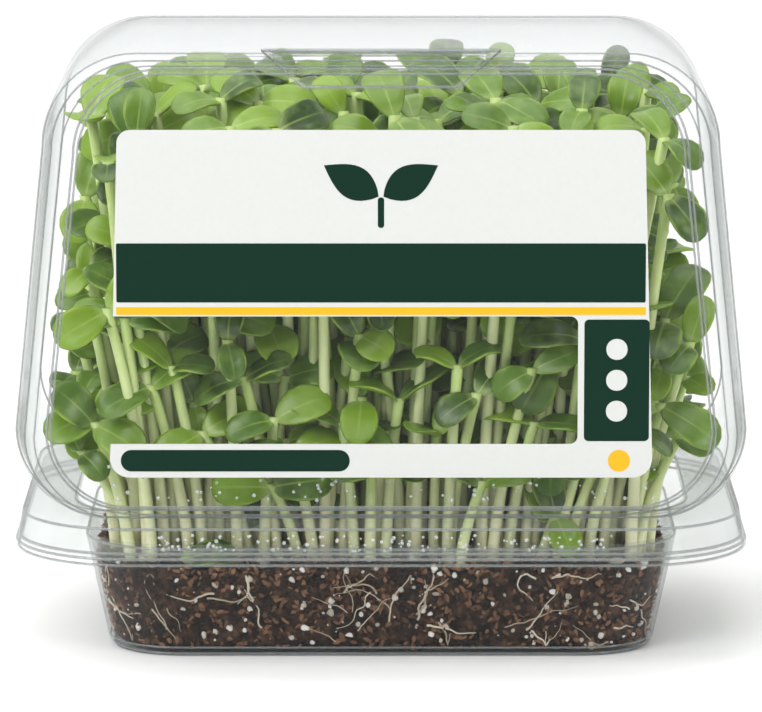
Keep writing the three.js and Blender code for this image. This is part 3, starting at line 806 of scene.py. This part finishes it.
def grow_seedlings(seed):
    """All clumps with their seedlings, each placed by the first try that has room."""
    draws, clumps, placed = Draws(seed), [], []
    for row, (y, low, high, edge_low, edge_high) in enumerate(ROWS):
        columns = CLUMP["columns"] - row % 2
        for column in range(columns):
            at_end = column in (0, columns - 1)
            clump = dict(x=(column - (columns - 1) / 2) * CLUMP["pitch"] + CLUMP["shift_x"] * (draws.next() - 0.5))
            clump["y"] = y + CLUMP["shift_y"] * (draws.next() - 0.5)
            clump["phase"] = 2 * np.pi * draws.next()
            clump.update(low=edge_low if at_end else low, high=edge_high if at_end else high, plants=[])
            clumps.append(clump)
            for index in range(CLUMP["stems"]):
                for attempt in range(CLEAR["tries"]):
                    plant = try_seedling(draws, clump, index)
                    if has_room(plant["probes"]) and all(plants_clear(plant, other) for other in placed):
                        placed.append(plant)
                        clump["plants"].append(plant)
                        break
    return clumps


clumps = grow_seedlings(20817)
print("clumps:", len(clumps), "seedlings:", sum(len(clump["plants"]) for clump in clumps))

# %% [markdown]
# With the places of the clumps known, the top of the soil can rise a little round each of them.

# %% Soil block
def lumps(points, size, seed):
    """Smooth random heights from 0 to 1: random values on a cubic grid of a size, eased between its corners."""
    table = np.random.default_rng(seed).random(4096)
    place = np.asarray(points) / size
    cell = np.floor(place).astype(np.int64)
    share = place - cell
    share = share * share * (3 - 2 * share)
    total = np.zeros(len(place))
    for corner in np.ndindex(2, 2, 2):
        index = cell + corner
        key = (index[:, 0] * 73856093 ^ index[:, 1] * 19349663 ^ index[:, 2] * 83492791) % 4096
        total += table[key] * np.prod(np.where(corner, share, 1 - share), axis=1)
    return total


def even_outline(size, inset, count):
    """Points at even steps round a plan outline."""
    corners = plan_outline(size, inset)
    loop = np.vstack([corners, corners[:1]])
    length = np.concatenate([[0], np.cumsum(np.linalg.norm(np.diff(loop, axis=0), axis=1))])
    place = np.linspace(0, length[-1], count, endpoint=False)
    return np.column_stack([np.interp(place, length, loop[:, 0]), np.interp(place, length, loop[:, 1])])


def soil_surface(around=300):
    """Rings up the wall, drawn in by random lumps, then rings over the top, raised and lowered by them."""
    inset = TRAY["wall"] + GAP + 0.1
    levels = heel_levels(TRAY["wall"] + GAP, inset, np.linspace(0, np.pi / 2, 5))[::-1]
    levels += [(cup_size(z), inset, z) for z in np.linspace(4.6, SOIL_TOP - 0.6, 22)]
    rings = []
    for size, inward, z in levels:
        edge = np.column_stack([even_outline(size, inward, around), np.full(around, z)])
        inner = even_outline(size, inward + 1, around)
        depth = 1.5 * lumps(edge, 2.9, 11) * lumps(edge, 1.2, 12) + 0.4 * lumps(edge, 0.8, 13)
        edge[:, :2] += (inner - edge[:, :2]) * depth[:, None]
        rings.append(edge)
    rim = rings[-1]
    for share in np.concatenate([[0.99, 0.975], np.linspace(0.955, 0.05, 36)]):
        ring = rim * [share, share, 0] + [0, 0, SOIL_TOP - 0.3]
        ring[:, 2] += 2.6 * (lumps(ring, 9.0, 14) - 0.5) + 1.5 * (lumps(ring, 2.6, 15) - 0.5)
        rings.append(ring)
    return np.concatenate(rings), len(rings), around


points, rings, around = soil_surface()
crowns = np.array([(clump["x"], clump["y"]) for clump in clumps])
on_top = points[:, 2] > SOIL_TOP - 3
nearest = np.linalg.norm(points[:, None, :2] - crowns[None], axis=2).min(axis=1)
points[:, 2] += np.where(on_top, 1.3 * np.exp(-(nearest / 4.2) ** 2), 0)
soil = skin("soil_block", points, rings, around, [soil_look], 80)
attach(soil, "root")
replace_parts(soil, "soil")
print("soil faces:", len(soil.data.polygons))

# %% [markdown]
# Perlite, bark and roots show where the soil meets the clear wall. Each grain is a small rough ball, and each
# root is a thin tube that wanders along the wall. All grains of a kind are one mesh, to keep the scene light.

# %% Grains
def ball(rings=4, around=7):
    """Points and faces of a small ball: rings between two poles."""
    height = np.linspace(0, np.pi, rings + 2)[1:-1]
    turn = np.linspace(0, 2 * np.pi, around, endpoint=False)
    grid = np.stack([np.outer(np.sin(height), np.cos(turn)), np.outer(np.sin(height), np.sin(turn)),
                     np.outer(-np.cos(height), np.ones(around))], -1).reshape(-1, 3)
    points = np.vstack([grid, [[0, 0, -1], [0, 0, 1]]])
    step = np.arange(around)
    after = (step + 1) % around
    last = (rings - 1) * around
    low = np.stack([after, step, np.full(around, rings * around)], -1)
    high = np.stack([last + step, last + after, np.full(around, rings * around + 1)], -1)
    return points, ring_faces(rings, around), np.concatenate([low, high])


def random_turns(count, rng):
    """Random rotations, from random unit quaternions."""
    w, x, y, z = rng.normal(size=(count, 4)).T
    size = np.sqrt(w * w + x * x + y * y + z * z)
    w, x, y, z = w / size, x / size, y / size, z / size
    return np.stack([1 - 2 * (y * y + z * z), 2 * (x * y - z * w), 2 * (x * z + y * w),
                     2 * (x * y + z * w), 1 - 2 * (x * x + z * z), 2 * (y * z - x * w),
                     2 * (x * z - y * w), 2 * (y * z + x * w), 1 - 2 * (x * x + y * y)], -1).reshape(-1, 3, 3)


def grains(name, centres, sizes, seed, material, rough=0.35, rings=4, around=7):
    """Rough grains: a ball for each, stretched by its sizes, dented at random and turned at random."""
    rng = np.random.default_rng(seed)
    points, quads, triangles = ball(rings, around)
    count = len(centres)
    dents = 1 - rough * rng.random((count, len(points), 1))
    local = points[None] * sizes[:, None, :] * dents
    placed = np.einsum("nij,npj->npi", random_turns(count, rng), local) + centres[:, None, :]
    shift = (np.arange(count) * len(points))[:, None, None]
    piece = make_piece(name, placed.reshape(-1, 3), [((quads[None] + shift).reshape(-1, 4), 0),
                                                     ((triangles[None] + shift).reshape(-1, 3), 0)], [material])
    add_value(piece, "tone", np.repeat(rng.random(count), len(points)))
    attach(piece, "root")
    return piece


def wall_place(share, z, inset):
    """Places on the soil's wall: a share of the way round, a height, and an inset from the cup's outside."""
    fine = 720
    low = even_outline(TRAY["foot"], 0.0, fine)
    high = even_outline(TRAY["mouth"], 0.0, fine)
    low_in = even_outline(TRAY["foot"], 1.0, fine)
    place = (np.asarray(share) % 1) * fine
    first = np.floor(place).astype(int) % fine
    part = (place - np.floor(place))[..., None]

    def at(outline):
        return outline[first] * (1 - part) + outline[(first + 1) % fine] * part

    rise = (np.asarray(z) / TRAY["height"])[..., None]
    inward = at(low_in) - at(low)
    flat = at(low) + (at(high) - at(low)) * rise + inward * np.asarray(inset)[..., None]
    return np.concatenate([flat, np.asarray(z)[..., None]], -1), np.concatenate([-inward, 0 * part], -1)


def top_place(count, rng):
    """Random places over the soil's top."""
    return np.column_stack([rng.uniform(-70, 70, count), rng.uniform(-44, 44, count),
                            SOIL_TOP + rng.uniform(-0.6, 1.0, count)])


def wall_grains(sizes, rng):
    """Random places on the soil's wall, larger grains set deeper, so that all stay behind the tray's wall."""
    count = len(sizes)
    return wall_place(rng.random(count), 2.2 + 22.3 * rng.random(count), 1.2 + 0.55 * sizes.max(axis=1))[0]


rng = np.random.default_rng(31)
flake = np.array([1.4, 0.8, 0.5])
perlite_wall = rng.uniform(0.3, 1.25, (360, 1)) ** 1.3 * rng.uniform(0.6, 1.1, (360, 3))
perlite_top = rng.uniform(0.5, 1.5, (160, 1)) * rng.uniform(0.7, 1.2, (160, 3))
bark_wall = rng.uniform(0.5, 1.6, (2600, 1)) * flake
bark_top = rng.uniform(0.6, 2.0, (700, 1)) * flake
grains("perlite_wall", wall_grains(perlite_wall, rng), perlite_wall, 32, perlite_look, 0.4)
grains("perlite_top", top_place(160, rng), perlite_top, 33, perlite_look, 0.4)
grains("bark_wall", wall_grains(bark_wall, rng), bark_wall, 34, bark_look, 0.5)
grains("bark_top", top_place(700, rng), bark_top, 35, bark_look, 0.5)
print("grains:", 360 + 160 + 2600 + 700)

# %% [markdown]
# Roots press against the clear wall and show as pale threads. Each is a path over the wall with a thin tube
# along it, tapering to its end.

# %% Roots
def tubes(name, paths, outward, radii, sides, material):
    """Thin tubes: a ring of points about each point of a path, in the plane of two directions across it."""
    count, steps, _ = paths.shape
    forward = np.gradient(paths, axis=1)
    forward /= np.linalg.norm(forward, axis=2, keepdims=True)
    side = np.cross(forward, outward)
    side /= np.linalg.norm(side, axis=2, keepdims=True)
    front = np.cross(side, forward)
    turn = np.linspace(0, 2 * np.pi, sides, endpoint=False)
    rings = paths[:, :, None] + radii[:, :, None, None] * (np.cos(turn)[:, None] * front[:, :, None]
                                                           + np.sin(turn)[:, None] * side[:, :, None])
    faces = ring_faces(steps, sides)
    caps = end_caps(steps, sides)
    shift = (np.arange(count) * steps * sides)[:, None, None]
    piece = make_piece(name, rings.reshape(-1, 3), [((faces[None] + shift)[:, :, ::-1].reshape(-1, 4), 0),
                                                    ((caps[None] + shift)[:, :, ::-1].reshape(-1, sides), 0)],
                       [material])
    add_value(piece, "tone", np.repeat(np.linspace(0.2, 1, count), steps * sides))
    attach(piece, "root")
    return piece


def wall_roots(count, steps, seed):
    """Roots on the wall: each starts at random, and its heading drifts at random as it goes."""
    rng = np.random.default_rng(seed)
    heading = rng.uniform(0, 2 * np.pi, (count, 1)) + np.cumsum(rng.normal(0, 0.24, (count, steps)), axis=1)
    stride = rng.uniform(0.4, 1.3, (count, 1))
    share = rng.random((count, 1)) + np.cumsum(np.cos(heading) * stride, axis=1) / 420
    z = rng.uniform(4, SOIL_TOP - 1, (count, 1)) + np.cumsum(np.sin(heading) * stride, axis=1)
    z = 2.6 + np.abs((z - 2.6) % (2 * 20.2) - 20.2)
    place, outward = wall_place(share, z, np.full((count, steps), 1.32))
    taper = np.linspace(1, 0.35, steps)
    return place, outward, rng.uniform(0.14, 0.36, (count, 1)) * taper


roots = tubes("roots_wall", *wall_roots(80, 16, 41), 5, root_look)
print("root faces:", len(roots.data.polygons))

# %% [markdown]
# ## Seedlings
# Each clump becomes one piece in place of its solid. A leaf is a ball pressed flat and bent by the rule above,
# with a crease along its middle. Its points carry how far along and across the leaf they are, which the material
# uses for the vein, the rim and the underside.

# %% Seedling meshes
LEAF_RINGS, LEAF_AROUND = 8, 12
STEM_RINGS, STEM_AROUND = 9, 8
LEAF_BALL, LEAF_QUADS, LEAF_TRIANGLES = ball(LEAF_RINGS, LEAF_AROUND)
STEM_SHARE = np.repeat(np.linspace(0, 1, STEM_RINGS), STEM_AROUND)
STEM_TURN = np.tile(np.linspace(0, 2 * np.pi, STEM_AROUND, endpoint=False), STEM_RINGS)


def leaf_surface(plant, leaf, rng):
    """A leaf's points and marks: the ball's poles lie at its foot and tip, and its upper side has a crease."""
    along = (1 + LEAF_BALL[:, 2]) / 2
    across = LEAF_BALL[:, 0]
    through = -LEAF_BALL[:, 1]
    crease = -0.5 * np.exp(-(across / 0.16) ** 2) * np.sin(np.pi * along) * (through > 0)
    wave = 0.45 * across * np.sin(2 * np.pi * (along + rng.random())) + 0.25 * np.sin(7 * along + 6 * rng.random())
    points = leaf_points(plant, leaf, along, across, through + crease + wave * np.sin(np.pi * along))
    marks = dict(leaf_along=along, leaf_across=across, leaf_upper=np.clip(0.5 + through * 3, 0, 1),
                 stem_height=np.ones(len(along)), tone=np.full(len(along), rng.random()))
    return points, marks


def stem_surface(plant, rng):
    """A stem's points and marks: rings about its centre line, narrowing upwards and flaring under its leaves."""
    centre = stem_centre(plant, STEM_SHARE)
    radius = STEM["foot"] + (STEM["top"] - STEM["foot"]) * STEM_SHARE + 0.25 * STEM_SHARE ** 14
    points = centre + radius[:, None] * np.stack([np.cos(STEM_TURN), np.sin(STEM_TURN), 0 * STEM_TURN], -1)
    zero = np.zeros(len(points))
    return points, dict(leaf_along=zero, leaf_across=zero, leaf_upper=zero, stem_height=STEM_SHARE,
                        tone=zero + rng.random())


def stand_piece(name, plants, rng):
    """All stems and leaves of some seedlings as one mesh."""
    points, face_sets, marks, start = [], [], [], 0
    for plant in plants:
        stem, stem_marks = stem_surface(plant, rng)
        face_sets += [(ring_faces(STEM_RINGS, STEM_AROUND) + start, 1),
                      (end_caps(STEM_RINGS, STEM_AROUND) + start, 1)]
        points.append(stem)
        marks.append(stem_marks)
        start += len(stem)
        for leaf in plant["leaves"]:
            blade, blade_marks = leaf_surface(plant, leaf, rng)
            face_sets += [(LEAF_QUADS + start, 0), (LEAF_TRIANGLES + start, 0)]
            points.append(blade)
            marks.append(blade_marks)
            start += len(blade)
    piece = make_piece(name + "_skin", np.concatenate(points), face_sets, [leaf_look, stem_look])
    for key in marks[0]:
        add_value(piece, key, np.concatenate([part[key] for part in marks]))
    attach(piece, "root")
    return piece


rng = np.random.default_rng(53)
for number, clump in enumerate(clumps, 1):
    name = f"seedlings_{number:02d}"
    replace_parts(stand_piece(name, clump["plants"], rng), name)
print("leaf faces each:", len(LEAF_QUADS) + len(LEAF_TRIANGLES))

# %% [markdown]
# A real tray holds far more seedlings than the solids can keep apart. A second stand fills the gaps between the
# clumps: each new seedling is tried at random and kept where its leaves and stem stay clear of the others.

# %% Seedlings between the clumps
FILL = dict(leaf_leaf=1.6, leaf_stem=1.3, stem_stem=2.0)
# Regions to fill: tries, then ranges of the stems' tips along X, Y and Z
REGIONS = ((8000, (-80, 80), (-44, -16), (44, 100)), (2500, (50, 86), (-44, 40), (48, 142)),
           (2500, (-86, -50), (-44, 40), (48, 142)), (3500, (-78, 78), (-44, 44), (112, 144)),
           (3000, (-70, 70), (-42, -14), (33, 58)), (3000, (-82, 82), (12, 44), (48, 122)))
STEM_STEPS = np.linspace(0, 0.97, 24)


def tree_of(points):
    """A search tree over points, to find the nearest one quickly."""
    tree = KDTree(len(points))
    for index, point in enumerate(points):
        tree.insert(point, index)
    tree.balance()
    return tree


def nearest_gap(points, tree):
    return min(tree.find(point)[2] for point in points)


def fill_seedling(rng, ranges):
    """One try at a seedling between the clumps, its tip at random in a region."""
    tip = np.array([rng.uniform(*pair) for pair in ranges])
    foot = tip[:2] / 1.16 + rng.normal(0, 3.0, 2)
    foot = np.clip(foot, (-70, -44), (70, 44))
    azimuth = rng.uniform(0, 2 * np.pi)
    plant = dict(tip=tip, foot=foot, tilt=rng.uniform(0.2, 1.25))
    size = rng.uniform(11.0, 18.0)
    plant["leaves"] = [dict(length=size * rng.uniform(0.9, 1.1), azimuth=azimuth + half + rng.uniform(-0.3, 0.3),
                            pitch=rng.uniform(0.15, 0.95), curl=rng.uniform(0.4, 1.3),
                            width=size * rng.uniform(0.58, 0.72)) for half in (0, np.pi)]
    plant["probes"] = np.concatenate([leaf_points(plant, leaf, PROBE_ALONG, PROBE_ACROSS, 0.0)
                                      for leaf in plant["leaves"]])
    return plant


def fill_gaps(placed, seed):
    """More seedlings among those already placed, each kept only where it has room."""
    rng = np.random.default_rng(seed)
    leaves = np.concatenate([plant["probes"] for plant in placed])
    stems = np.concatenate([stem_centre(plant, STEM_STEPS) for plant in placed])
    leaf_tree, stem_tree, kept = tree_of(leaves), tree_of(stems), []
    for tries, *ranges in REGIONS:
        for attempt in range(tries):
            plant = fill_seedling(rng, ranges)
            if not has_room(plant["probes"]):
                continue
            stem = stem_centre(plant, STEM_STEPS)
            if nearest_gap(plant["probes"], leaf_tree) < FILL["leaf_leaf"]:
                continue
            if min(nearest_gap(plant["probes"], stem_tree), nearest_gap(stem, leaf_tree)) < FILL["leaf_stem"]:
                continue
            if nearest_gap(stem, stem_tree) < FILL["stem_stem"]:
                continue
            kept.append(plant)
            leaves, stems = np.concatenate([leaves, plant["probes"]]), np.concatenate([stems, stem])
            leaf_tree, stem_tree = tree_of(leaves), tree_of(stems)
    return kept


extra = fill_gaps([plant for clump in clumps for plant in clump["plants"]], 61)
for number in range(6):
    stand_piece(f"seedlings_between_{number + 1}", extra[number::6], rng)
print("seedlings between the clumps:", len(extra))

# %% [markdown]
# A few seed hulls and one fallen leaf lie on the soil, as they do in a tray that has just sprouted.

# %% Hulls and a fallen leaf
hull_look = grain_material("seed_hulls", (0.02, 0.017, 0.015), (0.5, 0.44, 0.36), 900.0, 0.5, 0.0003)
hull_places = np.array([(61.0, -45.0, 25.4), (-30.0, -45.5, 25.2), (18.0, -44.5, 25.3), (-60.0, 30.0, 25.5),
                        (35.0, 43.0, 25.4), (71.0, 5.0, 25.3)])
hull_sizes = np.array([2.9, 1.7, 1.1]) * np.linspace(0.85, 1.05, 6)[:, None]
grains("hulls", hull_places, hull_sizes, 62, hull_look, 0.08, 6, 10)
fallen = dict(tip=(-52.0, -44.5, 26.4), tilt=0.75)
blade, blade_marks = leaf_surface(fallen, dict(length=15.0, width=8.5, azimuth=0.15, pitch=0.15, curl=0.4), rng)
fallen_leaf = make_piece("fallen_leaf", blade, [(LEAF_QUADS, 0), (LEAF_TRIANGLES, 0)], [leaf_look])
for key, values in blade_marks.items():
    add_value(fallen_leaf, key, 0 * values if key == "tone" else values)
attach(fallen_leaf, "root")
print("hulls:", len(hull_places))

# %% [markdown]
# ## Dew
# The greens are alive and damp, so small drops of water sit on the inside of the lid and of its rim. They are
# smooth balls, half see-through, with a sharp highlight each.

# %% Drops
def dew_places(count, seed):
    """Random places on the lid's front just above its base, and behind the front of its rim."""
    rng = np.random.default_rng(seed)
    x = rng.uniform(-70, 70, count)
    low = rng.random(count) < 0.6
    y = np.where(low, 1.9 - LID_RIM["size"][1], PANEL_Y + 1.5)
    z = np.where(low, rng.uniform(32.2, 36.4, count), 43.5 + 9 * rng.random(count) ** 1.6)
    return np.column_stack([np.where(low, x * 0.86, x), y, z])


dew_look = start_material("dew", Base_Color=(0.75, 0.78, 0.78, 1), Roughness=0.03, Specular_IOR_Level=1.0,
                          Alpha=0.4)[0]
sizes = np.random.default_rng(72).uniform(0.25, 0.6, (220, 1)) * np.ones((1, 3))
dew = grains("dew_drops", dew_places(220, 71), sizes, 73, dew_look, 0.06)
print("drops:", len(sizes))

# %% [markdown]
# ## Floor, light and camera
# A pale floor and a white world give the bright, even light of a studio photo. Two large soft lights add the
# highlights on the plastic.

# %% Studio
def studio_floor():
    material, tree, shader = start_material("floor_white", Roughness=0.6)
    mottle = noise(tree, 6.0, 2.0)
    tree.links.new(ramp(tree, mottle, [(0.3, (0.86, 0.86, 0.86)), (0.7, (0.88, 0.88, 0.88))]),
                   shader.inputs["Base Color"])
    corners = np.array([(-9000, -5000, 0), (9000, -5000, 0), (9000, 13000, 0), (-9000, 13000, 0)], dtype=float)
    floor = make_piece("floor", corners, [(np.array([[0, 1, 2, 3]]), 0)], [material])
    floor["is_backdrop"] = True
    return floor


def soft_light(name, place, target, size, power):
    """A square soft light at a place in metres, facing a target."""
    lamp = bpy.data.lights.new(name, "AREA")
    lamp.size = size
    lamp.energy = power
    light = bpy.data.objects.new(name, lamp)
    bpy.context.scene.collection.objects.link(light)
    light.location = place
    direction = Vector(target) - Vector(place)
    light.rotation_euler = direction.to_track_quat("-Z", "Y").to_euler()
    return light


def studio_world():
    """A world that is white behind the object, grey overhead and dim behind the camera, as in a studio."""
    world = bpy.data.worlds.new("studio")
    world.use_nodes = True
    tree = world.node_tree
    place = tree.nodes.new("ShaderNodeTexCoord")
    axes = tree.nodes.new("ShaderNodeSeparateXYZ")
    tree.links.new(place.outputs["Generated"], axes.inputs["Vector"])
    share = maths(tree, "MULTIPLY_ADD", axes.outputs["Y"], 0.5, 0.5)
    tree.links.new(ramp(tree, share, [(0.1, (0.2, 0.2, 0.2)), (0.5, (0.5, 0.5, 0.5)), (0.8, (1.05, 1.05, 1.05))]),
                   tree.nodes["Background"].inputs["Color"])
    bpy.context.scene.world = world


def soft_sun(name, direction, strength, spread):
    """Even light from a wide part of the sky, the same at any distance."""
    lamp = bpy.data.lights.new(name, "SUN")
    lamp.energy = strength
    lamp.angle = np.radians(spread)
    light = bpy.data.objects.new(name, lamp)
    bpy.context.scene.collection.objects.link(light)
    light.rotation_euler = Vector(direction).to_track_quat("-Z", "Y").to_euler()
    return light


studio_floor()
studio_world()
soft_sun("sun_soft", (0.25, 0.2, -1.0), 2.3, 70)
soft_light("light_left", (-0.9, -1.1, 1.0), (0, 0, 0.08), 0.8, 13)
soft_light("light_right", (1.1, -0.9, 0.7), (0, 0, 0.08), 0.5, 6)
bpy.context.scene.view_settings.view_transform = "Standard"
bpy.context.scene.cycles.transparent_max_bounces = 32

ELEVATION, DISTANCE, TARGET_Z = np.radians(10), 1.5, 0.0713
camera_data = bpy.data.cameras.new("camera")
camera_data.sensor_width = 36
camera_data.lens = 36 * 5655 / 762
camera_data.clip_end = 100
camera = bpy.data.objects.new("camera", camera_data)
bpy.context.scene.collection.objects.link(camera)
camera.location = (0, -DISTANCE * np.cos(ELEVATION), TARGET_Z + DISTANCE * np.sin(ELEVATION))
camera.rotation_euler = (np.pi / 2 - ELEVATION, 0, 0)
bpy.context.scene.camera = camera
print("lens:", round(camera_data.lens, 1), "mm")

# %% [markdown]
# ## Size
# The finer pieces stay inside the box of the solids. Both boxes are written down so that they can be compared.

# %% Sizes and finish
scene_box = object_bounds()


def plain(value):
    """Nested vectors as plain lists of numbers."""
    return [plain(part) for part in value] if hasattr(value, "__len__") else float(value)


{"cad": plain(cad_box), "scene": plain(scene_box)}
print("solids:", plain(cad_box), "scene:", plain(scene_box))
